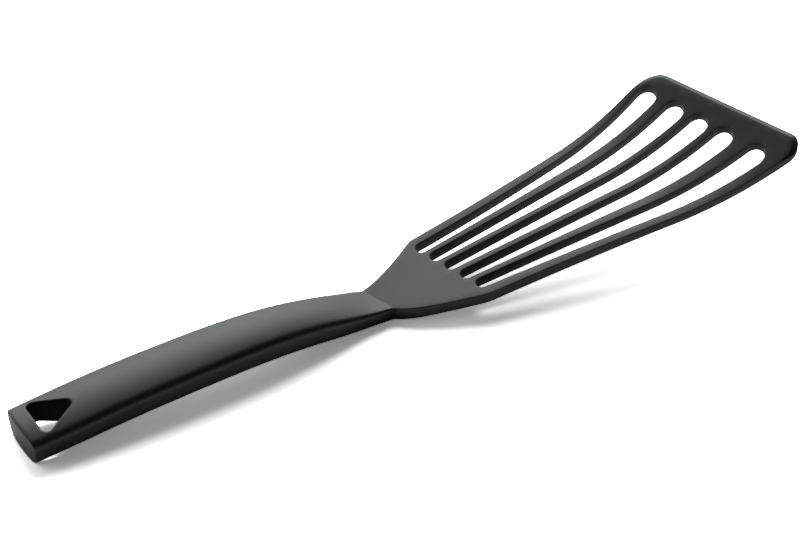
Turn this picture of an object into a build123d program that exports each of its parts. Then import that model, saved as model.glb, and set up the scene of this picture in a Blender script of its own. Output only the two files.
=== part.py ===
from build123d import *
from math import asin, atan, cos, radians, sin, sqrt, tan
import os

# Millimetres. X runs from the butt to the tip, Y to the far side, Z up from the table.
# The handle's centre plane is Y = 0 until the finished part is set about its own middle.

# Places along the centre plane: the crease from the butt, those of the blade past the crease
crease_at = 158.6
flare_run = 10.0
heel_run = 15.0
far_shoulder_run = 25.5
slot_heel_run = 32.6
near_shoulder_run = 37.0
curl_run = 106.0
slot_tip_run = 147.4
near_flare_run = 13.3
front_run = 160.45

# The crease, the slot ends and the curl cross the blade at one slant, the front edge at another
slant_degrees = 18.3
front_slant_degrees = 20.2

# Handle: a D section, arched along its length, thinning to a flat neck
handle_width = 25.6
handle_crest = 15.9
handle_arch = 4.2
handle_crown = 2.4
neck_width = 16.2
neck_thickness = 6.0
top_corner = 3.6
belly_corner = 5.5
neck_corner = 0.9
side_taper = 1.1
butt_bow = 1.2
butt_lean = 1.2
foot_depth = 0.3

# Stations of the handle, as shares of its length to the crease and of the sizes above
station_shares = (0.0, 0.13, 0.26, 0.38, 0.51, 0.64, 0.735, 0.83, 0.89, 0.945)
level_shares = (0.715, 0.82, 0.925, 0.975, 1.0, 0.98, 0.905, 0.75, 0.615, 0.485)
width_shares = (0.966, 0.984, 0.969, 0.952, 0.926, 0.882, 0.827, 0.761, 0.715, 0.66)
arch_shares = (0.0, 0.28, 0.66, 0.88, 1.0, 0.95, 0.72, 0.34, 0.12, 0.0)
crown_shares = (0.9, 1.0, 1.0, 1.0, 1.0, 0.95, 0.85, 0.65, 0.42, 0.2)
corner_shares = (1.0, 1.0, 1.0, 1.0, 1.0, 1.0, 0.95, 0.82, 0.66, 0.48)
belly_shares = (0.8, 1.0, 1.0, 1.0, 1.0, 1.0, 0.95, 0.82, 0.66, 0.46)

# Hang hole: a rounded triangle, its base towards the butt
hole_base_at = 7.1
hole_apex_at = 25.2
hole_base_width = 20.6
hole_base_corner = 2.6
hole_apex_corner = 2.0
well_depth = 3.5
well_end_wall = 2.4
well_end_at = 29.8

# The fan's axis lies a little to the near side of the handle's; the slots' runs back to it
fan_heel_axis = -1.1
fan_tip_axis = -0.65
slot_heel_axis = -0.7
slot_tip_axis = 0.1

# Blade: a flat rise from the crease, then a curl, thinning towards the front edge
rise_degrees = 7.9
curl_radius = 108.0
curl_degrees = 38.0
heel_thickness = 5.1
heel_blend = 180.0
tip_thickness = 3.35
heel_half_width = 22.05
side_hollow = 1.3
tip_half_width = 35.5
far_tip_corner = 10.0
near_tip_corner = 5.4
far_shoulder_corner = 6.0
near_shoulder_corner = 25.0
flare_half_width = 12.15
near_flare_half_width = 14.7

# The bevel that thins the front edge from above: its depth there and how it falls forward
bevel_depth = 2.2
bevel_fall_degrees = 10.0

# Slots: five, fanning out and widening to the tip, with full round ends
slot_heel_width = 5.2
slot_tip_width = 9.3
inner_slot_heel = 7.7
inner_slot_tip = 12.2
outer_far_slot_heel = 15.5
outer_far_slot_tip = 26.5
outer_near_slot_heel = 15.1
outer_near_slot_tip = 27.1

# How far the long edges of the slots bow in towards the fan's axis
outer_far_slot_far_bow = 1.7
outer_far_slot_near_bow = 0.5
inner_far_slot_far_bow = 0.5
outer_near_slot_far_bow = 0.6
outer_near_slot_near_bow = 0.4

# Inside the handle: the blade's tang, the cover below it and the pegs that hold both
top_wall = 2.4
side_wall = 2.4
neck_wall = 1.4
tang_end_at = 31.8
cover_end_at = 146.8
cover_thickness = 2.4
fit_gap = 0.15
peg_radius = 2.4
peg_depth = 1.3
first_peg_at = 50.8
second_peg_at = 118.8
pocket_length = 12.0
pocket_width = 11.0
pocket_depth = 4.5
pocket_rib = 2.5

# Cuts run past what they cut by this much
overrun = 30.0

# How often the place of the front edge on the curl is drawn nearer
approaches = 6

slant = radians(slant_degrees)
rise = radians(rise_degrees)
flare_at = crease_at + flare_run
near_flare_at = crease_at + near_flare_run
heel_at = crease_at + heel_run
far_shoulder_at = crease_at + far_shoulder_run
near_shoulder_at = crease_at + near_shoulder_run
slot_heel_at = crease_at + slot_heel_run
slot_tip_at = crease_at + slot_tip_run
curl_at = crease_at + curl_run
front_at = crease_at + front_run


def slanted(at, across):
    """Place along X, this far across, of the slanted line that meets the centre plane at at."""
    return at - across * tan(slant)


def flat_top(at):
    """Height of the blade's flat top over the table."""
    return neck_thickness + (at - crease_at) * tan(rise)


def nearest(vertices, point):
    return min(vertices, key=lambda vertex: (vertex.X - point[0]) ** 2 + (vertex.Y - point[1]) ** 2)


# Handle

def ring(plane, half_width, bottom, far_level, near_level, crown, corner, belly):
    """One closed section of the handle on its own plane: local X across, local Y up."""
    middle = (far_level + near_level) / 2
    foot = half_width - side_taper * (middle - bottom) / handle_crest
    outline = [
        Bezier((-half_width, near_level), (0, middle + 2 * crown), (half_width, far_level)),
        Line((half_width, far_level), (foot, bottom)),
        Line((foot, bottom), (-foot, bottom)),
        Line((-foot, bottom), (-half_width, near_level)),
    ]
    face = make_face(outline)
    face = fillet(face.vertices().sort_by(Axis.Y)[2:], corner)
    return plane * fillet(face.vertices().sort_by(Axis.Y)[:2], belly)


def upright(at):
    return Plane(origin=(at, 0, 0), x_dir=(0, 1, 0), z_dir=(1, 0, 0))


def crease_plane():
    return Plane(origin=(crease_at, 0, 0), x_dir=(-sin(slant), cos(slant), 0),
                 z_dir=(cos(slant), sin(slant), 0))


def handle_loft(side, top, neck, depth, roundness):
    """The handle's form drawn in by these walls, its underside lowered by a depth."""
    rings = []
    shares = zip(station_shares, level_shares, width_shares, arch_shares,
                 crown_shares, corner_shares, belly_shares)
    for station, level, width, arch, crown, corner, belly in shares:
        rings.append(ring(
            upright(station * crease_at), width * handle_width / 2 - side,
            arch * handle_arch - depth, level * handle_crest - top, level * handle_crest - top,
            crown * handle_crown, corner * top_corner, belly * roundness))
    half_width = neck_width / 2 - neck
    far_level = flat_top(slanted(crease_at, half_width)) - neck
    near_level = flat_top(slanted(crease_at, -half_width)) - neck
    rings.append(ring(crease_plane(), half_width / cos(slant), -depth, far_level, near_level,
                      0, neck_corner, neck_corner))
    return loft(rings)


def table_cut(shape):
    """Trim to the table, which leaves flat feet under the butt and the neck."""
    length = front_at + 2 * overrun
    space = Pos(length / 2 - overrun, 0, length / 2) * Box(length, length, length)
    return shape & space


def butt_space():
    """What lies ahead of the butt face: bowed in plan and leaning back as it rises."""
    half_width = handle_width / 2
    height = level_shares[0] * handle_crest + crown_shares[0] * handle_crown
    end = crease_at + overrun
    wide = half_width + overrun
    bow = butt_bow / half_width ** 2
    outline = [
        ThreePointArc((butt_lean + bow * wide ** 2, wide), (butt_lean, 0),
                      (butt_lean + bow * wide ** 2, -wide)),
        Polyline((butt_lean + bow * wide ** 2, -wide), (end, -wide), (end, wide),
                 (butt_lean + bow * wide ** 2, wide)),
    ]
    return extrude(make_face(outline), 2 * height, dir=(-butt_lean, 0, height))


def hang_hole():
    corners = ((hole_base_at, hole_base_width / 2), (hole_apex_at, 0),
               (hole_base_at, -hole_base_width / 2))
    face = make_face(Polyline(*corners, close=True))
    face = fillet(nearest(face.vertices(), corners[1]), hole_apex_corner)
    face = fillet(face.vertices().sort_by(Axis.X)[:2], hole_base_corner)
    return Pos(0, 0, -overrun) * extrude(face, 2 * overrun)


def block(start, end, floor, roof, width):
    """A plain block between two places along the part, on its centre plane."""
    middle = Pos((start + end) / 2, 0, (floor + roof) / 2)
    return middle * Box(end - start, width, roof - floor)


def inner_space(gap):
    """Space inside the handle's walls, open below, with a gap drawn in all round."""
    return handle_loft(side_wall + gap, top_wall + gap, neck_wall + gap, cover_thickness,
                       neck_corner)


def handle_form():
    """The closed form of the handle, with its hang hole and the well under the hole."""
    form = table_cut(handle_loft(0, 0, 0, foot_depth, belly_corner) & butt_space()) - hang_hole()
    well = block(well_end_wall, well_end_at, -overrun, well_depth, handle_width)
    return form - (inner_space(0) & well)


def cavity(gap):
    """Room for the tang and the cover, from the tang's end to the crease."""
    room = block(tang_end_at + gap, crease_at + overrun, -overrun, overrun, handle_width)
    return inner_space(gap) & room


def along_handle(shares, size, at):
    """A size of the handle at a place between its stations."""
    pairs = list(zip(station_shares, shares))
    for (near, low), (far, high) in zip(pairs, pairs[1:]):
        if near * crease_at <= at < far * crease_at:
            return (low + (at / crease_at - near) / (far - near) * (high - low)) * size
    return shares[-1] * size


def cover_face(at):
    """Height of the cover's inner face."""
    return along_handle(arch_shares, handle_arch, at) + cover_thickness


def cover_space(gap):
    """Everything below the cover's inner face, between its two ends, grown by a gap."""
    inner = [(share * crease_at, cover_face(share * crease_at) + gap) for share in station_shares]
    outline = [
        Spline(*inner),
        Polyline(inner[-1], (inner[-1][0], -overrun), (inner[0][0], -overrun), inner[0]),
    ]
    slab = extrude(Plane.XZ * make_face(outline), overrun, both=True)
    return slab & block(tang_end_at - gap, cover_end_at + gap, -overrun, overrun, handle_width)


def pegs(gap):
    """The pegs as solids, grown by a gap in radius and depth."""
    solids = []
    for at in (first_peg_at, second_peg_at):
        foot = cover_face(at) - peg_depth - gap
        head = along_handle(level_shares, handle_crest, at)
        solids.append(Pos(at, 0, (foot + head) / 2) * Cylinder(peg_radius + gap, head - foot))
    return solids


def pockets():
    """A row of pockets in the tang's underside, between the pegs, with ribs left between them."""
    room = second_peg_at - first_peg_at - 2 * (peg_radius + pocket_rib)
    pitch = pocket_length + pocket_rib
    count = int((room + pocket_rib) / pitch)
    first = (first_peg_at + second_peg_at - (count - 1) * pitch) / 2
    solids = []
    for number in range(count):
        at = first + number * pitch
        solids.append(block(at - pocket_length / 2, at + pocket_length / 2, -overrun,
                            cover_face(at) + pocket_depth, pocket_width))
    return solids


# Blade

def side_circle():
    middle = ((slot_heel_at + slot_tip_at) / 2, (heel_half_width + tip_half_width) / 2 - side_hollow)
    return ThreePointArc((slot_heel_at, heel_half_width), middle, (slot_tip_at, tip_half_width))


def side_across(at):
    """Half width of the fan between its two shallow, hollow sides."""
    arc = side_circle()
    middle = arc.arc_center
    return middle.Y - sqrt(arc.radius ** 2 - (at - middle.X) ** 2)


def side_point(at, hand):
    share = (at - slot_heel_at) / (slot_tip_at - slot_heel_at)
    axis = fan_heel_axis + share * (fan_tip_axis - fan_heel_axis)
    return (at, axis + hand * side_across(at))


def side_curve(start, end, hand):
    middle = (start + end) / 2
    return ThreePointArc(*[side_point(at, hand) for at in (start, middle, end)])


def blade_plan():
    half_neck = neck_width / 2
    far_neck = (slanted(crease_at, half_neck), half_neck)
    near_neck = (slanted(crease_at, -half_neck), -half_neck)
    far_shoulder = side_point(far_shoulder_at, 1)
    near_shoulder = side_point(near_shoulder_at, -1)
    beyond = front_at + overrun
    outline = [
        Spline(far_neck, (flare_at, flare_half_width), far_shoulder, tangents=((1, 0.1), (1, 0.6))),
        side_curve(far_shoulder_at, beyond, 1),
        Line(side_point(beyond, 1), side_point(beyond, -1)),
        side_curve(near_shoulder_at, beyond, -1),
        Spline(near_neck, (near_flare_at, -near_flare_half_width), near_shoulder,
               tangents=((1, -0.95), (1, -0.36))),
        Line(near_neck, far_neck),
    ]
    plan = make_face(outline)
    lean = tan(radians(front_slant_degrees))
    wide = side_across(beyond) + overrun
    ahead = make_face(Polyline((front_at - wide * lean, wide), (beyond + wide, wide),
                               (beyond + wide, -wide), (front_at + wide * lean, -wide), close=True))
    plan -= ahead
    far_tip = (front_at - tip_half_width * lean, tip_half_width)
    near_tip = (front_at + tip_half_width * lean, -tip_half_width)
    for point, corner in ((far_tip, far_tip_corner), (near_tip, near_tip_corner),
                          (far_shoulder, far_shoulder_corner), (near_shoulder, near_shoulder_corner)):
        plan = fillet(nearest(plan.vertices(), point), corner)
    return plan


def profile_plane():
    """Square to the lines of the curl: local X up the flat of the blade, local Y out of it."""
    out = Vector(-sin(rise), 0, cos(rise))
    skew = atan(tan(slant) / cos(rise))
    up_blade = Vector(cos(rise) * cos(skew), sin(skew), sin(rise) * cos(skew))
    origin = (crease_at, 0, neck_thickness)
    return Plane(origin=origin, x_dir=up_blade, z_dir=up_blade.cross(out))


def run(at):
    """Distance on the profile from the crease to the slanted line through at."""
    skew = atan(tan(slant) / cos(rise))
    return (at - crease_at) / cos(rise) * cos(skew)


def thickness(at):
    taper = (heel_thickness - tip_thickness) / (front_at - heel_at)
    return heel_thickness - taper * (at - heel_at)


def on_curl(turn, depth):
    """Point of the curl after a turn, at a depth under the top face."""
    radius = curl_radius + depth
    return (run(curl_at) + radius * sin(turn), curl_radius - radius * cos(turn))


def front_bevel():
    """Space over the plane that thins the front edge, from some way back on the curl."""
    lean = tan(radians(front_slant_degrees))
    fall = tan(radians(bevel_fall_degrees))
    skew = atan(tan(slant) / cos(rise))
    ahead = curl_radius * (cos(rise) * cos(skew) + tan(slant) * sin(skew))
    lift = 0
    for _ in range(approaches):
        turn = asin((front_at - curl_at + lift * sin(rise)) / ahead)
        lift = curl_radius * (1 - cos(turn))
    height = flat_top(front_at) + lift / cos(rise)
    across_curl = curl_radius * sin(turn) / cos(rise)
    steep = across_curl / (ahead * cos(turn) - across_curl * sin(rise) * cos(rise))
    edge = Vector(-lean, 1, (tan(slant) - lean) * steep - lean * tan(rise))
    forward = Vector(1, lean, -fall)
    plane = Plane(origin=(front_at, 0, height - bevel_depth), x_dir=forward, z_dir=forward.cross(edge))
    size = 2 * tip_half_width + overrun
    return plane * Box(size, size, overrun, align=(Align.CENTER, Align.CENTER, Align.MIN))


def blade_profile():
    full = radians(curl_degrees)
    turns = (0, full / 2, full)
    depths = [thickness(curl_at + curl_radius * sin(turn)) for turn in turns]
    top = [on_curl(turn, 0) for turn in turns]
    under = [on_curl(turn, depth) for turn, depth in zip(turns, depths)]
    back = -neck_thickness
    heel = (run(heel_at), -heel_thickness)
    outline = [
        Line((back, 0), top[0]),
        ThreePointArc(*top),
        Line(top[-1], under[-1]),
        ThreePointArc(*under),
        Polyline(under[0], heel, (0, -neck_thickness), (back, -neck_thickness), (back, 0)),
    ]
    profile = make_face(outline)
    return fillet(nearest(profile.vertices(), heel), heel_blend)


def slot_line(heel_across, tip_across, at):
    """Where one slot's centre line meets the slanted line through at."""
    start = slot_heel_axis + heel_across
    slope = (slot_tip_axis + tip_across - start) / (slot_tip_at - slot_heel_at)
    across = (start + slope * (at - slot_heel_at)) / (1 + slope * tan(slant))
    return Vector(slanted(at, across), across)


def bowed(start, end, aside):
    """An edge between two points, its middle set aside; straight when that is nothing."""
    if aside.length == 0:
        return Line(start, end)
    return ThreePointArc(start, (start + end) / 2 + aside, end)


def slot(heel_across, tip_across, far_bow, near_bow):
    """Tapered slot between two round ends whose centres lie on the slanted slot lines."""
    heel = slot_line(heel_across, tip_across, slot_heel_at)
    tip = slot_line(heel_across, tip_across, slot_tip_at)
    heel_radius = slot_heel_width / 2
    tip_radius = slot_tip_width / 2
    along = (tip - heel).normalized()
    lead = (heel_radius - tip_radius) / (tip - heel).length
    square = Vector(-along.Y, along.X)
    inwards = -square if heel_across > 0 else square
    far = along * lead + square * sqrt(1 - lead ** 2)
    near = along * lead - square * sqrt(1 - lead ** 2)
    outline = [
        bowed(heel + far * heel_radius, tip + far * tip_radius, inwards * far_bow),
        ThreePointArc(tip + far * tip_radius, tip + along * tip_radius, tip + near * tip_radius),
        bowed(tip + near * tip_radius, heel + near * heel_radius, inwards * near_bow),
        ThreePointArc(heel + near * heel_radius, heel - along * heel_radius,
                      heel + far * heel_radius),
    ]
    return make_face(outline)


def slots():
    return [
        slot(outer_far_slot_heel, outer_far_slot_tip, outer_far_slot_far_bow,
             outer_far_slot_near_bow),
        slot(inner_slot_heel, inner_slot_tip, inner_far_slot_far_bow, 0),
        slot(0, 0, 0, 0),
        slot(-inner_slot_heel, -inner_slot_tip, 0, 0),
        slot(-outer_near_slot_heel, -outer_near_slot_tip, outer_near_slot_far_bow,
             outer_near_slot_near_bow),
    ]


def slotted_blade():
    height = flat_top(front_at) + curl_radius
    plan = blade_plan()
    for opening in slots():
        plan -= opening
    prism = extrude(Pos(0, 0, -overrun) * plan, height)
    slab = extrude(profile_plane() * blade_profile(), 2 * tip_half_width + overrun, both=True)
    return table_cut(prism & slab) - front_bevel()


# The separate pieces

def blade_piece(form):
    tang = (form & cavity(fit_gap)) - cover_space(fit_gap)
    for cut in pegs(fit_gap) + pockets():
        tang -= cut
    return slotted_blade() + tang


def shell_piece(form):
    shell = form - cavity(0)
    for peg in pegs(0):
        shell += peg
    return shell


def cover_piece(form):
    cover = form & cavity(fit_gap) & cover_space(0)
    for peg in pegs(fit_gap):
        cover -= peg
    return cover


def pieces():
    form = handle_form()
    return {
        "blade": blade_piece(form),
        "handle_shell": shell_piece(form),
        "handle_back": cover_piece(form),
    }


def write_parts():
    """Set the part about its own middle, on the table, and write each piece."""
    made = pieces()
    boxes = [solid.bounding_box() for solid in made.values()]
    middle_x = (min(box.min.X for box in boxes) + max(box.max.X for box in boxes)) / 2
    middle_y = (min(box.min.Y for box in boxes) + max(box.max.Y for box in boxes)) / 2
    os.makedirs("parts", exist_ok=True)
    for name, solid in made.items():
        export_step(Pos(-middle_x, -middle_y, 0) * solid, f"parts/{name}.step")


write_parts()
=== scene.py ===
import math

import bmesh
import bpy
import numpy as np
from mathutils import Matrix, Vector
from mathutils.geometry import delaunay_2d_cdt


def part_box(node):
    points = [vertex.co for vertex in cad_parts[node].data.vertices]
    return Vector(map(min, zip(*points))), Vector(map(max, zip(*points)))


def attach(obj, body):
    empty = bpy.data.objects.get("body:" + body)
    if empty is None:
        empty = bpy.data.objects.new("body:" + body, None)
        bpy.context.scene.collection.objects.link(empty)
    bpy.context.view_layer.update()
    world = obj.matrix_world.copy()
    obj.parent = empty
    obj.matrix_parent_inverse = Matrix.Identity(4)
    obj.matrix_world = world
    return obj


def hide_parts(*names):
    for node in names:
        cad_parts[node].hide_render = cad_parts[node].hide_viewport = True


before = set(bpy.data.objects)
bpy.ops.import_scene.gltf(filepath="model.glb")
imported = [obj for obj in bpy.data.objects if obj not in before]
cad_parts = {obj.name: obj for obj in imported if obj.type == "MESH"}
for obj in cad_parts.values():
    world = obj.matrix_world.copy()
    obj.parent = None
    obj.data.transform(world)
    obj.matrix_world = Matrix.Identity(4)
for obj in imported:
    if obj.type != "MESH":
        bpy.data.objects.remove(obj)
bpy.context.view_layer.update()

# Camera: a long lens from the near side of the butt, looking down over the handle to the tip,
# with the whole spatula lying across the picture from its lower left to its upper right. It is
# placed from the butt: x runs to the tip, y to the far side and z up from the table.
mm = 0.001
shell_low, shell_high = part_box("handle_shell")
butt = Vector((shell_low.x, (shell_low.y + shell_high.y) / 2, 0))
view_azimuth = math.radians(29.5)
view_elevation = math.radians(43.0)
lens_length = 202.5
film_width = 36.0
camera_place = butt + Vector((-471.8, -1131.6, 1231.7)) * mm
nearest_seen = 0.05
farthest_seen = 50

camera_data = bpy.data.cameras.new("camera")
camera_data.lens = lens_length
camera_data.sensor_width = film_width
camera_data.sensor_fit = "HORIZONTAL"
camera_data.clip_start = nearest_seen
camera_data.clip_end = farthest_seen
camera = bpy.data.objects.new("camera", camera_data)
bpy.context.scene.collection.objects.link(camera)
right = Vector((math.cos(view_azimuth), -math.sin(view_azimuth), 0))
ahead = Vector((math.sin(view_azimuth) * math.cos(view_elevation),
                math.cos(view_azimuth) * math.cos(view_elevation), -math.sin(view_elevation)))
turned = Matrix((right, right.cross(ahead), -ahead)).transposed()
camera.matrix_world = Matrix.Translation(camera_place) @ turned.to_4x4()
bpy.context.scene.camera = camera

# Table: a wide matt white sheet under the spatula. It shows as plain white where no shadow
# falls, and keeps the soft shadows that the handle and the slotted blade throw on it. Its white
# is set apart for the camera, for what the nylon mirrors and for the light that it gives back.
table_reach = 6.0
table_white = (0.82, 0.82, 0.82, 1)
table_mirrored = (1.3, 1.3, 1.3, 1)
table_seen = (3.3, 3.3, 3.3, 1)
table_glow = (1, 1, 1, 1)
table_lift = 0.2

table_mesh = bpy.data.meshes.new("table")
table_corners = [(-table_reach, -table_reach, 0), (table_reach, -table_reach, 0),
                 (table_reach, table_reach, 0), (-table_reach, table_reach, 0)]
table_mesh.from_pydata(table_corners, [], [(0, 1, 2, 3)])
table = bpy.data.objects.new("table", table_mesh)
bpy.context.scene.collection.objects.link(table)

table_paint = bpy.data.materials.new("table_white")
table_paint.use_nodes = True
nodes = table_paint.node_tree.nodes
links = table_paint.node_tree.links
nodes.clear()
out = nodes.new("ShaderNodeOutputMaterial")
matt = nodes.new("ShaderNodeBsdfDiffuse")
matt.inputs["Color"].default_value = table_white
mirrored = nodes.new("ShaderNodeBsdfDiffuse")
mirrored.inputs["Color"].default_value = table_mirrored
seen = nodes.new("ShaderNodeBsdfDiffuse")
seen.inputs["Color"].default_value = table_seen
glow = nodes.new("ShaderNodeEmission")
glow.inputs["Color"].default_value = table_glow
glow.inputs["Strength"].default_value = table_lift
lifted = nodes.new("ShaderNodeAddShader")
path = nodes.new("ShaderNodeLightPath")
unseen = nodes.new("ShaderNodeMixShader")
choose = nodes.new("ShaderNodeMixShader")
links.new(seen.outputs[0], lifted.inputs[0])
links.new(glow.outputs[0], lifted.inputs[1])
links.new(path.outputs["Is Glossy Ray"], unseen.inputs[0])
links.new(matt.outputs[0], unseen.inputs[1])
links.new(mirrored.outputs[0], unseen.inputs[2])
links.new(path.outputs["Is Camera Ray"], choose.inputs[0])
links.new(unseen.outputs[0], choose.inputs[1])
links.new(lifted.outputs[0], choose.inputs[2])
links.new(choose.outputs[0], out.inputs[0])
table.data.materials.append(table_paint)

# Studio light: one broad soft box behind the spatula, about as high as the camera stands in
# front, and a room that is white along the horizon and dim overhead and behind the camera.
softbox_width = 1.4
softbox_power = 20.0
softbox_distance = 1.6
softbox_elevation = math.radians(43.0)
softbox_azimuth = math.radians(25.0)
room_low = math.sin(math.radians(18.0))
room_high = math.sin(math.radians(58.0))
room_white = 1.8
room_dim = 0.02
room_front = -0.1
room_back = 0.45
lit_middle = butt + Vector((165, 0, 10)) * mm

softbox_data = bpy.data.lights.new("softbox", "AREA")
softbox_data.shape = "DISK"
softbox_data.size = softbox_width
softbox_data.energy = softbox_power
softbox = bpy.data.objects.new("softbox", softbox_data)
bpy.context.scene.collection.objects.link(softbox)
towards = Vector((math.sin(softbox_azimuth) * math.cos(softbox_elevation),
                  math.cos(softbox_azimuth) * math.cos(softbox_elevation),
                  math.sin(softbox_elevation)))
softbox.location = lit_middle + towards * softbox_distance
softbox.rotation_euler = towards.to_track_quat("Z", "Y").to_euler()

room = bpy.data.worlds.new("room")
room.use_nodes = True
nodes = room.node_tree.nodes
links = room.node_tree.links
nodes.clear()
out = nodes.new("ShaderNodeOutputWorld")
shine = nodes.new("ShaderNodeBackground")
where = nodes.new("ShaderNodeTexCoord")
split = nodes.new("ShaderNodeSeparateXYZ")
fade = nodes.new("ShaderNodeMapRange")
fade.interpolation_type = "SMOOTHSTEP"
fade.inputs["From Min"].default_value = room_low
fade.inputs["From Max"].default_value = room_high
fade.inputs["To Min"].default_value = room_white
fade.inputs["To Max"].default_value = 0
back = nodes.new("ShaderNodeMapRange")
back.interpolation_type = "SMOOTHSTEP"
back.inputs["From Min"].default_value = room_front
back.inputs["From Max"].default_value = room_back
total = nodes.new("ShaderNodeMath")
total.operation = "MULTIPLY_ADD"
total.inputs[2].default_value = room_dim
links.new(where.outputs["Generated"], split.inputs[0])
links.new(split.outputs["Z"], fade.inputs["Value"])
links.new(split.outputs["Y"], back.inputs["Value"])
links.new(fade.outputs["Result"], total.inputs[0])
links.new(back.outputs["Result"], total.inputs[1])
links.new(total.outputs[0], shine.inputs["Color"])
links.new(shine.outputs[0], out.inputs[0])
bpy.context.scene.world = room
bpy.context.scene.view_settings.view_transform = "Standard"

# Handle shell: the long arched handle, a hollow moulding of black glass-filled nylon with 2.4 mm
# walls, open below. The hang hole goes through it near the butt, over a shallow well. Two pegs
# moulded inside its roof pass through the blade's tang and are welded into the cover.
handle_width = 25.6 * mm
handle_crest = 15.9 * mm
handle_arch = 4.2 * mm
handle_crown = 2.4 * mm
crease_at = 158.6 * mm
neck_width = 16.2 * mm
neck_thickness = 6.0 * mm
slant = math.tan(math.radians(18.3))
rise = math.radians(7.9)
top_corner = 3.6 * mm
belly_corner = 5.5 * mm
neck_corner = 0.9 * mm
side_taper = 1.1 * mm
butt_bow = 1.2 * mm
butt_lean = 1.2 * mm
butt_edge = 0.9 * mm
butt_steps = 6
butt_reach = 15.0 * mm
foot_depth = 0.3 * mm
station_shares = (0, 0.13, 0.26, 0.38, 0.51, 0.64, 0.735, 0.83, 0.89, 0.945, 1)
level_shares = (0.715, 0.82, 0.925, 0.975, 1, 0.98, 0.905, 0.75, 0.615, 0.485)
width_shares = (0.966, 0.984, 0.969, 0.952, 0.926, 0.882, 0.827, 0.761, 0.715, 0.66)
arch_shares = (0, 0.28, 0.66, 0.88, 1, 0.95, 0.72, 0.34, 0.12, 0)
crown_shares = (0.9, 1, 1, 1, 1, 0.95, 0.85, 0.65, 0.42, 0.2)
corner_shares = (1, 1, 1, 1, 1, 1, 0.95, 0.82, 0.66, 0.48)
belly_shares = (0.8, 1, 1, 1, 1, 1, 0.95, 0.82, 0.66, 0.46)
butt_height = level_shares[0] * handle_crest + crown_shares[0] * handle_crown
slant_start = station_shares[-2] * crease_at
top_wall = 2.4 * mm
side_wall = 2.4 * mm
neck_wall = 1.4 * mm
tang_end_at = 31.8 * mm
cover_thickness = 2.4 * mm
peg_radius = 2.4 * mm
peg_depth = 1.3 * mm
peg_sides = 32
peg_places = (50.8 * mm, 118.8 * mm)
well_depth = 3.5 * mm
well_places = (2.4 * mm, 29.8 * mm)
hole_corners = ((7.1 * mm, 10.3 * mm), (7.1 * mm, -10.3 * mm), (25.2 * mm, 0))
hole_rounds = (2.6 * mm, 2.6 * mm, 2.0 * mm)
hole_round_points = 10
hole_edge = 0.6 * mm
hole_edge_turns = np.radians((0, 20, 40, 60))
hole_flare = 0.72 * mm
hole_flare_slope = math.tan(math.radians(20))
ring_step = 1.25 * mm
outline_step = 0.9 * mm
cap_step = 1.2 * mm
overlap = 3.0 * mm
cut_clear = 6.0 * mm
cut_depth = 10.0 * mm
cut_height = 40.0 * mm
top_count, corner_count, side_count, belly_count, under_count = 23, 7, 4, 9, 11
corner_tries, ring_tries = 3, 4
row_share = 0.866
clear_share = 0.45
same_point = 1e-9
sharp_angle = math.radians(34)
nylon_shine = (0.90, 0.97, 1.0, 1)
cloud_scale, cloud_detail = 45, 4
cloud_from, cloud_to = 0.35, 0.65
cloud_dark, cloud_light = 0.85, 1.2
handling_scale, handling_detail, handling_roughness = 22, 6, 0.6
handling_from, handling_to = 0.3, 0.7
gloss_swing = 0.03
flow_scale, flow_detail = 120, 3
grain_strength, flow_strength = 0.35, 0.25
shell_colour = (0.0050, 0.0058, 0.0070)
shell_roughness = 0.46
shell_grain = (0.55 * mm, 0.03 * mm)
shell_seed = 0.52


def smooth_run(shares, size, last):
    """A size along the handle: a smooth curve through its stations, ending at the crease."""
    places = np.array(station_shares) * crease_at
    values = np.array([share * size for share in shares] + [last])
    gaps = np.diff(places)
    slopes = np.diff(values) / gaps
    rows = np.eye(len(places))
    sums = np.zeros(len(places))
    for i in range(1, len(places) - 1):
        rows[i, i - 1:i + 2] = gaps[i - 1], 2 * (gaps[i - 1] + gaps[i]), gaps[i]
        sums[i] = 6 * (slopes[i] - slopes[i - 1])
    bends = np.linalg.solve(rows, sums)

    def value(at):
        at = np.clip(at, places[0], places[-1])
        i = np.clip(np.searchsorted(places, at) - 1, 0, len(gaps) - 1)
        before, past, gap = places[i + 1] - at, at - places[i], gaps[i]
        return ((bends[i] * before ** 3 + bends[i + 1] * past ** 3) / (6 * gap)
                + (values[i] / gap - bends[i] * gap / 6) * before
                + (values[i + 1] / gap - bends[i + 1] * gap / 6) * past)
    return value


half_run = smooth_run(width_shares, handle_width / 2, neck_width / 2)
level_run = smooth_run(level_shares, handle_crest, neck_thickness)
arch_run = smooth_run(arch_shares, handle_arch, 0)
crown_run = smooth_run(crown_shares, handle_crown, 0)
corner_run = smooth_run(corner_shares, top_corner, neck_corner)
belly_run = smooth_run(belly_shares, belly_corner, neck_corner)


def slant_ease(at):
    """How far the rings have turned from square to the handle to the slant of the crease."""
    share = np.clip((at - slant_start) / (crease_at - slant_start), 0, 1)
    return share * share * (3 - 2 * share)


def corner_arc(corner, way_in, way_out, radius, count):
    """Points of the round that joins two straight ways from a corner, and its reach along them."""
    opening = np.arccos(np.clip(np.sum(way_in * way_out, axis=-1), -1, 1))
    reach = radius / np.tan(opening / 2)
    middle = way_in + way_out
    middle = middle / np.linalg.norm(middle, axis=-1, keepdims=True)
    centre = corner + middle * (radius / np.sin(opening / 2))[..., None]
    first = corner + way_in * reach[..., None] - centre
    last = corner + way_out * reach[..., None] - centre
    spread = np.pi - opening
    points = []
    for t in np.linspace(0, 1, count):
        shares = np.sin(spread * (1 - t)) / np.sin(spread), np.sin(spread * t) / np.sin(spread)
        points.append(centre + first * shares[0][..., None] + last * shares[1][..., None])
    return points, reach


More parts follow.
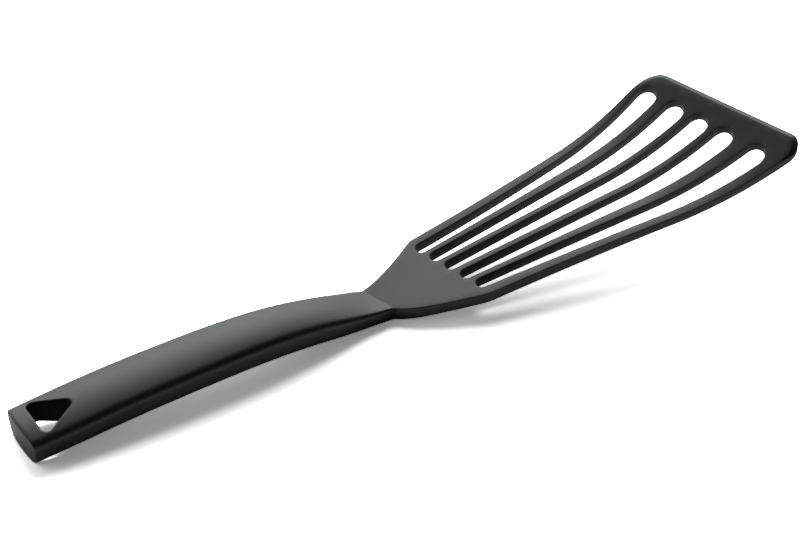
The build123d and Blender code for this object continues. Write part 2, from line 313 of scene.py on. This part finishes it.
def section(at, walls):
    """Closed sections of the handle, across and up: one row of points for each place in at.

    walls says how far sides and top are drawn in, where the lower face lies, how round it is."""
    side, ceiling, floor, belly = walls
    half = half_run(at) - side(at)
    crown = crown_run(at)
    corner = corner_run(at)
    level = level_run(at) - ceiling(at)
    tilt = -slant * math.tan(rise) * slant_ease(at)
    under = floor(at)
    foot = half - side_taper * (level - under) / handle_crest
    sides = []
    for hand in (1, -1):
        high = np.stack((hand * half, level + hand * tilt * half), axis=-1)
        low = np.stack((hand * foot, under), axis=-1)
        down = (low - high) / np.linalg.norm(low - high, axis=-1, keepdims=True)
        reach = corner
        for _ in range(corner_tries):
            across = half - reach
            slope = tilt - hand * 2 * crown * across / half ** 2
            touch = np.stack((hand * across, level + hand * tilt * across
                              + crown * (1 - (across / half) ** 2)), axis=-1)
            inward = np.stack((-hand * np.ones_like(slope), -hand * slope), axis=-1)
            inward = inward / np.linalg.norm(inward, axis=-1, keepdims=True)
            turn = down[..., 0] * inward[..., 1] - down[..., 1] * inward[..., 0]
            gap = touch - high
            share = (gap[..., 0] * inward[..., 1] - gap[..., 1] * inward[..., 0]) / turn
            arc, reach = corner_arc(high + down * share[..., None], inward, down, corner, corner_count)
        level_way = np.stack((-hand * np.ones_like(half), np.zeros_like(half)), axis=-1)
        lower, _ = corner_arc(low, -down, level_way, belly(at), belly_count)
        wall = [arc[-1] * (1 - t) + lower[0] * t for t in np.linspace(0, 1, side_count + 2)[1:-1]]
        sides.append(arc + wall + lower)
    far, near = sides
    top = []
    for t in np.linspace(0, 1, top_count + 2)[1:-1]:
        across = near[0][..., 0] * (1 - t) + far[0][..., 0] * t
        top.append(np.stack((across, level + tilt * across + crown * (1 - (across / half) ** 2)), axis=-1))
    bottom = [far[-1] * (1 - t) + near[-1] * t for t in np.linspace(0, 1, under_count + 2)[1:-1]]
    return np.stack(top + far + bottom + near[::-1], axis=-2)


def butt_face(across, up):
    """How far the bowed butt face, which leans back as it rises, stands in from the very end."""
    return butt_lean * (1 - up / butt_height) + butt_bow * (across / (handle_width / 2)) ** 2


def round_ways(points):
    """Unit vectors to the left of a closed run of points."""
    along = np.roll(points, -1, axis=0) - np.roll(points, 1, axis=0)
    ways = np.column_stack((-along[:, 1], along[:, 0]))
    return ways / np.linalg.norm(ways, axis=1)[:, None]


def handle_ring(at, inset, walls, plain):
    """One ring of points round the handle. Near the butt the rings take on the form of its face
    and near the crease its slant; plain rings stand upright."""
    places = np.full(top_count + under_count + 2 * (corner_count + side_count + belly_count), at)
    pick = np.arange(len(places))
    fade = 0 if plain else max(0, 1 - at / butt_reach) ** 2
    for _ in range(ring_tries):
        ring = section(places, walls)[pick, pick]
        places = at + butt_face(ring[:, 0], ring[:, 1]) * fade
    if inset:
        ring = ring - round_ways(ring) * inset
        places = at + butt_face(ring[:, 0], ring[:, 1]) * fade
    return np.column_stack((places - slant * ring[:, 0] * slant_ease(at), ring[:, 0], ring[:, 1]))


def inside(points, loops):
    """Which points lie within the first loop and outside every other, by crossings."""
    crossings = np.zeros(len(points), int)
    for loop in loops:
        a, b = loop, np.roll(loop, -1, axis=0)
        for (ax, ay), (bx, by) in zip(a, b):
            if ay == by:
                continue
            between = (points[:, 1] >= min(ay, by)) & (points[:, 1] < max(ay, by))
            at = ax + (points[:, 1] - ay) / (by - ay) * (bx - ax)
            crossings += between & (at > points[:, 0])
    return crossings % 2 == 1


def patch_faces(loops, step):
    """Triangles over the space between loops of points: all the points, and the triangles."""
    given = np.vstack(loops)
    low, high = loops[0].min(axis=0), loops[0].max(axis=0)
    xs = np.arange(low[0], high[0], step)
    ys = np.arange(low[1], high[1], step * row_share)
    grid = np.array([(x + (row % 2) * step / 2, y) for row, y in enumerate(ys) for x in xs])
    grid = grid[inside(grid, loops)]
    clear = [np.min(np.sum((given - p) ** 2, axis=1)) > (step * clear_share) ** 2 for p in grid]
    grid = grid[np.array(clear)]
    edges, start = [], 0
    for loop in loops:
        count = len(loop)
        edges.extend((start + i, start + (i + 1) % count) for i in range(count))
        start += count
    every = np.vstack((given, grid))
    found = delaunay_2d_cdt([Vector(p) for p in every], edges, [], 0, same_point)
    places = np.array([tuple(p) for p in found[0]])
    centres = np.array([places[list(face)].mean(axis=0) for face in found[2]])
    keep = inside(centres, loops)
    origin = [olds[0] if olds else None for olds in found[3]]
    return every, [[origin[v] for v in face] for face, kept in zip(found[2], keep) if kept]


def placed(name, mesh):
    """Set a mesh that is counted from the butt into the frame, as an object."""
    bmesh.ops.recalc_face_normals(mesh, faces=mesh.faces)
    data = bpy.data.meshes.new(name)
    mesh.to_mesh(data)
    mesh.free()
    data.transform(Matrix.Translation(butt))
    piece = bpy.data.objects.new(name, data)
    bpy.context.scene.collection.objects.link(piece)
    return piece


def lofted(name, rings, first_cap=None):
    """Closed mesh through rings of points. The first end is flat or follows the given face."""
    mesh = bmesh.new()
    grid = [[mesh.verts.new(p) for p in ring] for ring in rings]
    count = len(grid[0])
    for one, two in zip(grid, grid[1:]):
        for i in range(count):
            j = (i + 1) % count
            mesh.faces.new((one[i], one[j], two[j], two[i]))
    if first_cap:
        flat = np.array([(v.co.y, v.co.z) for v in grid[0]])
        points, faces = patch_faces([flat], cap_step)
        verts = grid[0] + [mesh.verts.new((first_cap(*p), *p)) for p in points[count:]]
        for face in faces:
            mesh.faces.new([verts[i] for i in face])
    else:
        mesh.faces.new(grid[0])
    mesh.faces.new(grid[-1])
    return placed(name, mesh)


def combine(piece, other, operation):
    """Cut the other body from the piece, join it on, or keep only what both share.

    A point that only splits an edge in two is taken out again."""
    change = piece.modifiers.new("change", "BOOLEAN")
    change.operation = operation
    change.solver = "EXACT"
    change.object = other
    view = bpy.context.evaluated_depsgraph_get()
    data = bpy.data.meshes.new_from_object(piece.evaluated_get(view))
    piece.modifiers.clear()
    old = piece.data
    piece.data = data
    bpy.data.meshes.remove(old)
    bpy.data.objects.remove(other)
    mesh = bmesh.new()
    mesh.from_mesh(data)
    splitting = [v for v in mesh.verts if len(v.link_edges) == 2]
    bmesh.ops.dissolve_verts(mesh, verts=splitting)
    mesh.to_mesh(data)
    mesh.free()


def settle_shading(piece):
    """Smooth faces, with hard lines only where two of them meet at a clear angle."""
    for face in piece.data.polygons:
        face.use_smooth = True
    piece.data.set_sharp_from_angle(angle=sharp_angle)


def nothing(at):
    """A wall of no thickness: the handle's outside itself."""
    return np.zeros_like(at)


def handle_form(name):
    """The closed outside form of the handle, flat on the table under the butt and the neck."""
    walls = (nothing, nothing, lambda at: arch_run(at) - foot_depth, belly_run)
    rings = [handle_ring(butt_edge * (1 - math.sin(turn)), butt_edge * (1 - math.cos(turn)), walls, False)
             for turn in np.linspace(math.pi / 2, 0, butt_steps)]
    for at in np.linspace(butt_edge, crease_at, int((crease_at - butt_edge) / ring_step))[1:]:
        rings.append(handle_ring(at, 0, walls, False))
    for ring in rings:
        ring[:, 2] = np.maximum(ring[:, 2], 0)
    return lofted(name, rings, butt_face)


def far_below(at):
    """A lower face well under the table, for a cut that leaves the handle open below."""
    return np.full_like(at, -cut_depth)


def inner_form(name, gap, start, end, floor):
    """The room inside the handle's walls between two places, drawn in by a gap all round."""
    def thin(wall):
        thick = smooth_run([1] * len(width_shares), wall, neck_wall)
        return lambda at: thick(at) + gap
    belly_share = neck_corner / belly_corner
    walls = (thin(side_wall), thin(top_wall), floor, lambda at: belly_run(at) * belly_share)
    last = min(end, crease_at)
    rings = [handle_ring(at, 0, walls, True)
             for at in np.linspace(start, last, max(2, int((last - start) / ring_step)))]
    if end > crease_at:
        rings[-1] = rings[-1] + np.array((end - crease_at, 0, 0))
    return lofted(name, rings)


def cut_down(piece, start, end, height):
    """Take away everything of a piece that is higher than this height along the handle."""
    rings = []
    for at in np.linspace(start - overlap, end + overlap, int((end - start) / ring_step) + 6):
        low = float(height(np.array(at)))
        corners = ((-1, low), (1, low), (1, low + cut_height), (-1, low + cut_height))
        rings.append([(at, hand * handle_width, z) for hand, z in corners])
    combine(piece, lofted("above", rings), "DIFFERENCE")


def cover_face(at):
    """Height of the cover's upper face along the handle."""
    return arch_run(at) + cover_thickness


def peg(at, grown):
    """A round peg from inside the roof of the handle down into the cover."""
    foot = float(cover_face(at)) - peg_depth - grown
    head = float(level_run(at) + crown_run(at)) - top_wall / 2
    radius = peg_radius + grown
    turns = np.linspace(0, 2 * math.pi, peg_sides + 1)[:-1]
    rings = [[(at + radius * math.cos(t), radius * math.sin(t), z) for t in turns] for z in (foot, head)]
    return lofted("peg", rings)


def line_points(start, end, step):
    """Evenly spaced points on a straight line, about a step apart."""
    count = max(2, int(math.dist(start, end) / step) + 1)
    share = np.linspace(0, 1, count)[:, None]
    return np.array(start) * (1 - share) + np.array(end) * share


def hole_loop():
    """Rounded triangle of the hang hole, one closed run of points with its outward ways."""
    loop = []
    corners = [np.array(c) for c in hole_corners]
    for i, radius in enumerate(hole_rounds):
        corner = corners[i]
        back = corners[i - 1] - corner
        on = corners[(i + 1) % 3] - corner
        arc, _ = corner_arc(corner, back / np.linalg.norm(back), on / np.linalg.norm(on),
                            np.array(radius), hole_round_points)
        if loop:
            loop.extend(line_points(loop[-1], arc[0], outline_step)[1:-1])
        loop.extend(arc)
    loop.extend(line_points(loop[-1], loop[0], outline_step)[1:-1])
    loop = np.array(loop)
    ways = round_ways(loop)
    middle = loop.mean(axis=0)
    if float(np.sum((loop - middle) * ways)) < 0:
        ways = -ways
    return loop, ways


def handle_top(x, y):
    """Height of the crowned top of the handle at one place."""
    at = np.array(float(x))
    return float(level_run(at) + crown_run(at) * (1 - (y / half_run(at)) ** 2))


def hole_cutter():
    """What the hang hole takes away: a straight hole that flares in a small round at the top."""
    loop, ways = hole_loop()
    rings = [[(x, y, -cut_depth) for x, y in loop]]
    profile = [(hole_edge * (1 - math.cos(t)), -hole_edge * (1 - math.sin(t))) for t in hole_edge_turns]
    out, height = profile[-1]
    profile.append((out + hole_flare, height + hole_flare * hole_flare_slope))
    profile.append((out + hole_flare, cut_clear))
    for grown, height in profile:
        edge = loop + ways * grown
        rings.append([(x, y, handle_top(x, y) + height) for x, y in edge])
    return lofted("hole", rings)


def moulded_nylon(name, colour, roughness, grain, seed):
    """Black glass-filled nylon as it leaves a spark-textured mould.

    Its colour drifts a little, its gloss varies in patches where it has been handled, and a
    fine pitted grain, given by its size and its height, breaks the shine."""
    grain_size, grain_height = grain
    paint = bpy.data.materials.new(name)
    paint.use_nodes = True
    nodes = paint.node_tree.nodes
    links = paint.node_tree.links
    shader = nodes["Principled BSDF"]
    shader.inputs["Specular Tint"].default_value = nylon_shine
    place = nodes.new("ShaderNodeTexCoord")
    spot = nodes.new("ShaderNodeMapping")
    spot.inputs["Location"].default_value = (seed, seed * 0.7, seed * 0.3)
    links.new(place.outputs["Object"], spot.inputs["Vector"])

    clouds = nodes.new("ShaderNodeTexNoise")
    clouds.inputs["Scale"].default_value = cloud_scale
    clouds.inputs["Detail"].default_value = cloud_detail
    tint = nodes.new("ShaderNodeValToRGB")
    tint.color_ramp.elements[0].position = cloud_from
    tint.color_ramp.elements[0].color = (*[c * cloud_dark for c in colour], 1)
    tint.color_ramp.elements[1].position = cloud_to
    tint.color_ramp.elements[1].color = (*[c * cloud_light for c in colour], 1)
    links.new(spot.outputs[0], clouds.inputs["Vector"])
    links.new(clouds.outputs["Fac"], tint.inputs[0])
    links.new(tint.outputs[0], shader.inputs["Base Color"])

    handling = nodes.new("ShaderNodeTexNoise")
    handling.inputs["Scale"].default_value = handling_scale
    handling.inputs["Detail"].default_value = handling_detail
    handling.inputs["Roughness"].default_value = handling_roughness
    gloss = nodes.new("ShaderNodeMapRange")
    gloss.inputs["From Min"].default_value = handling_from
    gloss.inputs["From Max"].default_value = handling_to
    gloss.inputs["To Min"].default_value = roughness - gloss_swing
    gloss.inputs["To Max"].default_value = roughness + gloss_swing
    links.new(spot.outputs[0], handling.inputs["Vector"])
    links.new(handling.outputs["Fac"], gloss.inputs["Value"])
    links.new(gloss.outputs["Result"], shader.inputs["Roughness"])

    pits = nodes.new("ShaderNodeTexVoronoi")
    pits.inputs["Scale"].default_value = 1 / grain_size
    pits.inputs["Randomness"].default_value = 1
    flow = nodes.new("ShaderNodeTexNoise")
    flow.inputs["Scale"].default_value = flow_scale
    flow.inputs["Detail"].default_value = flow_detail
    pitted = nodes.new("ShaderNodeBump")
    pitted.inputs["Strength"].default_value = grain_strength
    pitted.inputs["Distance"].default_value = grain_height
    waves = nodes.new("ShaderNodeBump")
    waves.inputs["Strength"].default_value = flow_strength
    waves.inputs["Distance"].default_value = grain_height * 2
    links.new(spot.outputs[0], pits.inputs["Vector"])
    links.new(spot.outputs[0], flow.inputs["Vector"])
    links.new(flow.outputs["Fac"], waves.inputs["Height"])
    links.new(pits.outputs["Distance"], pitted.inputs["Height"])
    links.new(waves.outputs["Normal"], pitted.inputs["Normal"])
    links.new(pitted.outputs["Normal"], shader.inputs["Normal"])
    return paint


shell = handle_form("handle_shell_nylon")
combine(shell, hole_cutter(), "DIFFERENCE")
well = inner_form("well", 0, *well_places, far_below)
cut_down(well, *well_places, lambda at: well_depth)
combine(shell, well, "DIFFERENCE")
room = inner_form("room", 0, tang_end_at, crease_at + overlap, far_below)
combine(shell, room, "DIFFERENCE")
for at in peg_places:
    combine(shell, peg(at, 0), "UNION")
settle_shading(shell)
shell_paint = moulded_nylon("handle_nylon", shell_colour, shell_roughness, shell_grain, shell_seed)
shell.data.materials.append(shell_paint)
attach(shell, "root")
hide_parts("handle_shell")

# Cover: the flat strip of black nylon that closes the handle from below. It is moulded apart, let
# in between the side walls of the shell under the tang, and welded to the shell's two pegs.
cover_end_at = 146.8 * mm
fit_gap = 0.15 * mm
cover_colour = (0.0060, 0.0066, 0.0078)
cover_roughness = 0.52
cover_grain = (0.60 * mm, 0.03 * mm)
cover_seed = 0.83

cover = handle_form("handle_back_nylon")
strip = inner_form("strip", fit_gap, tang_end_at + fit_gap, cover_end_at, far_below)
cut_down(strip, tang_end_at, cover_end_at, cover_face)
combine(cover, strip, "INTERSECT")
for at in peg_places:
    combine(cover, peg(at, fit_gap), "DIFFERENCE")
settle_shading(cover)
cover_paint = moulded_nylon("back_nylon", cover_colour, cover_roughness, cover_grain, cover_seed)
cover.data.materials.append(cover_paint)
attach(cover, "root")
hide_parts("handle_back")

# Blade: the slotted fan with its shoulders, neck and tang, one moulding of black glass-filled
# nylon. It rises from the crease at the neck, then curls up to a slanted, bevelled front edge,
# thinning as it goes. Its tang lies inside the handle, where the two pegs pass through it.
front_slant = math.tan(math.radians(20.2))
front_at = 319.05 * mm
curl_at = 264.6 * mm
curl_radius = 108.0 * mm
curl_share = 0.8
heel_at = 173.6 * mm
heel_thickness = 5.1 * mm
tip_thickness = 3.35 * mm
fan_axes = (-1.1 * mm, -0.65 * mm)
far_shoulder_at = 184.1 * mm
near_shoulder_at = 195.6 * mm
slot_heel_at = 191.2 * mm
slot_tip_at = 306.0 * mm
heel_half_width = 22.05 * mm
tip_half_width = 35.5 * mm
side_hollow = 1.3 * mm
far_flare = (168.6 * mm, 12.15 * mm)
near_flare = (171.9 * mm, -14.7 * mm)
far_flare_ways = ((-1, -0.6), (-1, -0.1))
near_flare_ways = ((1, -0.95), (1, -0.36))
far_tip_corner = 10.0 * mm
near_tip_corner = 5.4 * mm
far_shoulder_corner = 6.0 * mm
near_shoulder_corner = 25.0 * mm
slot_heel_width = 5.2 * mm
slot_tip_width = 9.3 * mm
slot_places = ((14.8 * mm, 26.6 * mm, 1.7 * mm, 0.5 * mm), (7.0 * mm, 12.3 * mm, 0.5 * mm, 0),
               (-0.7 * mm, 0.1 * mm, 0, 0), (-8.4 * mm, -12.1 * mm, 0, 0),
               (-15.8 * mm, -27.0 * mm, -0.6 * mm, -0.4 * mm))
slot_tip_points, slot_heel_points = 26, 18
blade_edge = 0.4 * mm
slot_edge = 0.25 * mm
edge_points = 5
bevel_reach = 2.95 * mm
bevel_drop = 2.2 * mm
bevel_soft = 0.06
bevel_ends = (1.0 * mm, 14.0 * mm)
crest_points = 7
patch_step = 2.4 * mm
slope_step = 0.2 * mm
tang_lift = 0.05 * mm
pocket_length = 12.0 * mm
pocket_width = 11.0 * mm
pocket_depth = 4.5 * mm
pocket_rib = 2.5 * mm
curl_points = 200
front_tries = 30
blade_colour = (0.0050, 0.0058, 0.0070)
blade_roughness = 0.50
blade_grain = (0.45 * mm, 0.02 * mm)
blade_seed = 0.11


def blade_flat(x):
    """Height of the straight rise from the crease, before the curl."""
    return neck_thickness + (x - crease_at) * math.tan(rise)


def curl_rise(past):
    """Height of the curl over the flat of the blade, this far past its start."""
    skew = math.atan(slant / math.cos(rise))
    run = np.linspace(0, curl_radius * curl_share, curl_points)
    lift = curl_radius - np.sqrt(curl_radius ** 2 - run ** 2)
    reach = run * (math.cos(skew) * math.cos(rise) + slant * math.sin(skew)) - lift * math.sin(rise)
    return np.interp(past, reach, lift / math.cos(rise), left=0)


def blade_top(x, y):
    """Height of the blade's upper face."""
    return blade_flat(x) + curl_rise(x + slant * y - curl_at)


def blade_under(x, y):
    """The lower face: the upper one, less the thickness square to it, and never below the table."""
    at = x + slant * y
    thick = np.interp(at, (crease_at, heel_at, front_at),
                      (neck_thickness, heel_thickness, tip_thickness))
    step = slope_step / 2
    slope_x = (blade_top(x + step, y) - blade_top(x - step, y)) / (2 * step)
    slope_y = (blade_top(x, y + step) - blade_top(x, y - step)) / (2 * step)
    steep = np.sqrt(1 + slope_x ** 2 + slope_y ** 2)
    ease = np.clip((at - crease_at) / (heel_at - crease_at), 0, 1)
    return np.maximum(blade_top(x, y) - thick * (1 + (steep - 1) * ease), 0)


def bowed_points(start, end, hollow, step):
    """A shallow arc between two points, its middle drawn aside by the hollow."""
    points = line_points(start, end, step)
    share = np.linspace(-1, 1, len(points))[:, None]
    along = np.array(end) - np.array(start)
    aside = np.array((-along[1], along[0])) / np.linalg.norm(along)
    return points + aside * hollow * (1 - share ** 2)


def join_rounded(before, after, radius, step):
    """Two runs that meet at a corner, as one run with an arc of this radius at the corner."""
    corner = after[0]
    come = corner - before[-3]
    go = after[2] - corner
    come = come / np.linalg.norm(come)
    go = go / np.linalg.norm(go)
    turn = math.atan2(come[0] * go[1] - come[1] * go[0], float(come @ go))
    cut = radius * math.tan(abs(turn) / 2)
    keep_before = before[np.linalg.norm(before - corner, axis=1) > cut * 1.001]
    keep_after = after[np.linalg.norm(after - corner, axis=1) > cut * 1.001]
    start = corner - come * cut
    hand = math.copysign(1, turn)
    centre = start + hand * radius * np.array((-come[1], come[0]))
    count = max(4, int(abs(turn) * radius / step) + 2)
    angles = np.linspace(0, turn, count)
    spoke = start - centre
    arc = [centre + (spoke[0] * math.cos(a) - spoke[1] * math.sin(a),
                     spoke[0] * math.sin(a) + spoke[1] * math.cos(a)) for a in angles]
    return np.vstack((keep_before, arc, keep_after))


def side_across(x):
    """Half width of the fan between its two hollow sides, past the shoulders and to the front."""
    share = (x - slot_heel_at) / (slot_tip_at - slot_heel_at)
    straight = heel_half_width + share * (tip_half_width - heel_half_width)
    return straight - side_hollow * 4 * share * (1 - share)


def side_at(x, hand):
    """Place across of the far side or the near one, about the fan's slightly skewed axis."""
    share = (x - slot_heel_at) / (slot_tip_at - slot_heel_at)
    return fan_axes[0] + share * (fan_axes[1] - fan_axes[0]) + hand * side_across(x)


def side_points(start, end, hand):
    """A run of points along the far side or the near one."""
    xs = np.linspace(start, end, int(abs(end - start) / outline_step) + 2)
    return np.column_stack((xs, side_at(xs, hand)))


def front_corner(hand):
    """Where one side of the fan would meet the front edge if the corner were sharp."""
    x = front_at
    for _ in range(front_tries):
        x = front_at - front_slant * side_at(x, hand)
    return x


def bend_points(points, tangents, step):
    """A smooth run through three points, with its direction given at both ends."""
    points = np.array(points)
    middle = (points[2] - points[0]) / 2
    ways = (np.array(tangents[0]), middle, np.array(tangents[1]))
    found = []
    for first in (0, 1):
        a, b = points[first], points[first + 1]
        reach = np.linalg.norm(b - a)
        way_a = ways[first] / np.linalg.norm(ways[first]) * reach
        way_b = ways[first + 1] / np.linalg.norm(ways[first + 1]) * reach
        t = np.linspace(0, 1, int(reach / step) + 2)[:, None]
        run = (a * (2 * t ** 3 - 3 * t ** 2 + 1) + way_a * (t ** 3 - 2 * t ** 2 + t)
               + b * (3 * t ** 2 - 2 * t ** 3) + way_b * (t ** 3 - t ** 2))
        found.append(run if first == 0 else run[1:])
    return np.vstack(found)


def blade_outline():
    """Open run round the fan: near neck, near side, front edge, far side, far neck."""
    half = neck_width / 2
    near_neck = (crease_at + slant * half, -half)
    far_neck = (crease_at - slant * half, half)
    near_shoulder = (near_shoulder_at, side_at(near_shoulder_at, -1))
    far_shoulder = (far_shoulder_at, side_at(far_shoulder_at, 1))
    near_front, far_front = front_corner(-1), front_corner(1)
    near_side = side_points(near_shoulder_at, near_front, -1)
    far_side = side_points(far_front, far_shoulder_at, 1)
    flare = bend_points((far_shoulder, far_flare, far_neck), far_flare_ways, outline_step)
    near_run = bend_points((near_neck, near_flare, near_shoulder), near_flare_ways, outline_step)
    run = join_rounded(near_run, near_side, near_shoulder_corner, outline_step)
    run = join_rounded(run, line_points(near_side[-1], far_side[0], outline_step),
                       near_tip_corner, outline_step)
    run = join_rounded(run, far_side, far_tip_corner, outline_step)
    return join_rounded(run, flare, far_shoulder_corner, outline_step)


def slot_points(place):
    """Closed loop round one slot: full round ends, and long edges that bow in by a little."""
    heel_across, tip_across, far_bow, near_bow = place
    slope = (tip_across - heel_across) / (slot_tip_at - slot_heel_at)
    ends = []
    for at in (slot_heel_at, slot_tip_at):
        across = (heel_across + slope * (at - slot_heel_at)) / (1 + slope * slant)
        ends.append(np.array((at - slant * across, across)))
    length = np.linalg.norm(ends[1] - ends[0])
    along = (ends[1] - ends[0]) / length
    square = np.array((-along[1], along[0]))
    radii = (slot_heel_width / 2, slot_tip_width / 2)
    lead = math.asin((radii[1] - radii[0]) / length)
    loop = []
    tip_turns = np.linspace(math.pi / 2 + lead, -math.pi / 2 - lead, slot_tip_points)
    heel_turns = np.linspace(-math.pi / 2 - lead, -3 * math.pi / 2 + lead, slot_heel_points)
    for end, radius, turns in ((ends[1], radii[1], tip_turns), (ends[0], radii[0], heel_turns)):
        ring = [end + radius * (along * math.cos(t) + square * math.sin(t)) for t in turns]
        if loop:
            loop.extend(bowed_points(loop[-1], ring[0], near_bow, outline_step)[1:-1])
        loop.extend(ring)
    loop.extend(bowed_points(loop[-1], loop[0], -far_bow, outline_step)[1:-1])
    return np.array(loop)


def edge_columns(points, inward, radius, bevels):
    """Rounded edge of the blade below each outline point: an arc, a wall and an arc.

    The bevels say how far the upper arc has given way to the flat bevel of the front edge."""
    columns = []
    wall = np.array((0, -1.0))
    for point, way, bevel in zip(points, inward, bevels):
        high, low = float(blade_top(*point)), float(blade_under(*point))
        inner = point + way * slope_step
        top_slope = (float(blade_top(*inner)) - high) / slope_step
        under_slope = (float(blade_under(*inner)) - low) / slope_step
        arcs = []
        for corner, slope, way_wall in ((np.array((0, high)), top_slope, wall),
                                        (np.array((0, low)), under_slope, -wall)):
            way_in = np.array((1, slope)) / math.hypot(1, slope)
            arc, _ = corner_arc(corner, way_in, way_wall, np.array(radius), edge_points)
            if bevel and not arcs:
                back = corner + way_in * bevel_reach
                out = corner + way_wall * bevel_drop
                slide = (out - back) * bevel_soft
                flat = (back + way_in * bevel_soft * bevel_reach, back + slide, (back + out) / 2,
                        out - slide, out + way_wall * bevel_soft * bevel_reach)
                arc = [a * (1 - bevel) + b * bevel for a, b in zip(arc, flat)]
            arcs.append(arc)
        columns.append([(*(point + way * inset), z) for inset, z in arcs[0] + arcs[1][::-1]])
    return columns


def blade_plate(name, outline, slots, crest_line):
    """Closed mesh of the blade, rounded all along its edges.

    The outline and each slot are (points, inward ways, edge radius, bevels). The outline is open:
    it ends in a flat face at the crease, with the crest line's points from its last column back
    to its first."""
    mesh = bmesh.new()
    rings = []
    for loop in [outline] + slots:
        rings.append([[mesh.verts.new(place) for place in column] for column in edge_columns(*loop)])
    for number, ring in enumerate(rings):
        for i in range(len(ring) if number else len(ring) - 1):
            one, two = ring[i], ring[(i + 1) % len(ring)]
            for k in range(len(one) - 1):
                mesh.faces.new((one[k], one[k + 1], two[k + 1], two[k]))
    ends = []
    for level, face_height in ((0, blade_top), (-1, blade_under)):
        ends.append([mesh.verts.new((x, y, float(face_height(x, y)))) for x, y in crest_line])
        loops = [[column[level] for column in ring] for ring in rings]
        loops[0] = loops[0] + ends[-1]
        points, faces = patch_faces([np.array([v.co[:2] for v in loop]) for loop in loops], patch_step)
        verts = [v for loop in loops for v in loop]
        for x, y in points[len(verts):]:
            verts.append(mesh.verts.new((x, y, float(face_height(x, y)))))
        for face in faces:
            mesh.faces.new([verts[i] for i in face])
    first, last = rings[0][0], rings[0][-1]
    mesh.faces.new(last + ends[1] + first[::-1] + ends[0][::-1])
    return placed(name, mesh)


def tang_floor(at):
    """Underside of the tang: over the cover, and past its end down to the handle's own underside."""
    over_cover = cover_face(at) + fit_gap
    past_cover = np.maximum(arch_run(at) - foot_depth, tang_lift)
    return np.where(at < cover_end_at + fit_gap, over_cover, past_cover)


def pocket(at):
    """A square-cornered recess in the tang's underside, which keeps its walls thin."""
    foot = float(cover_face(np.array(at))) - overlap
    head = float(cover_face(np.array(at))) + pocket_depth
    corners = ((-0.5, -0.5), (0.5, -0.5), (0.5, 0.5), (-0.5, 0.5))
    rings = [[(at + x * pocket_length, y * pocket_width, z) for x, y in corners] for z in (foot, head)]
    return lofted("pocket", rings)


outline = blade_outline()
along = np.gradient(outline, axis=0)
ways = np.column_stack((-along[:, 1], along[:, 0])) / np.linalg.norm(along, axis=1)[:, None]
crease_way = np.array((slant, -1.0)) / math.hypot(slant, 1)
ways[0], ways[-1] = -crease_way, crease_way
behind_front = front_at - (outline[:, 0] + front_slant * outline[:, 1])
share = np.clip((bevel_ends[1] - behind_front) / (bevel_ends[1] - bevel_ends[0]), 0, 1)
bevels = share * share * (3 - 2 * share)
loops = [slot_points(place) for place in slot_places]
slots = [(loop, round_ways(loop), slot_edge, np.zeros(len(loop))) for loop in loops]
inner = neck_width / 2 - blade_edge
crest_line = [(crease_at - slant * y, y) for y in np.linspace(inner, -inner, crest_points + 2)[1:-1]]
blade = blade_plate("blade_nylon", (outline, ways, blade_edge, bevels), slots, crest_line)

tang = inner_form("tang", fit_gap, tang_end_at + fit_gap, crease_at + overlap, tang_floor)
for at in peg_places:
    combine(tang, peg(at, fit_gap), "DIFFERENCE")
pocket_pitch = pocket_length + pocket_rib
pocket_room = peg_places[1] - peg_places[0] - 2 * (peg_radius + fit_gap + pocket_rib)
pocket_count = int((pocket_room + pocket_rib) / pocket_pitch)
first_pocket = (sum(peg_places) - (pocket_count - 1) * pocket_pitch) / 2
for number in range(pocket_count):
    combine(tang, pocket(first_pocket + number * pocket_pitch), "DIFFERENCE")
combine(blade, tang, "UNION")
settle_shading(blade)
blade_paint = moulded_nylon("blade_nylon", blade_colour, blade_roughness, blade_grain, blade_seed)
blade.data.materials.append(blade_paint)
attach(blade, "root")
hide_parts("blade")
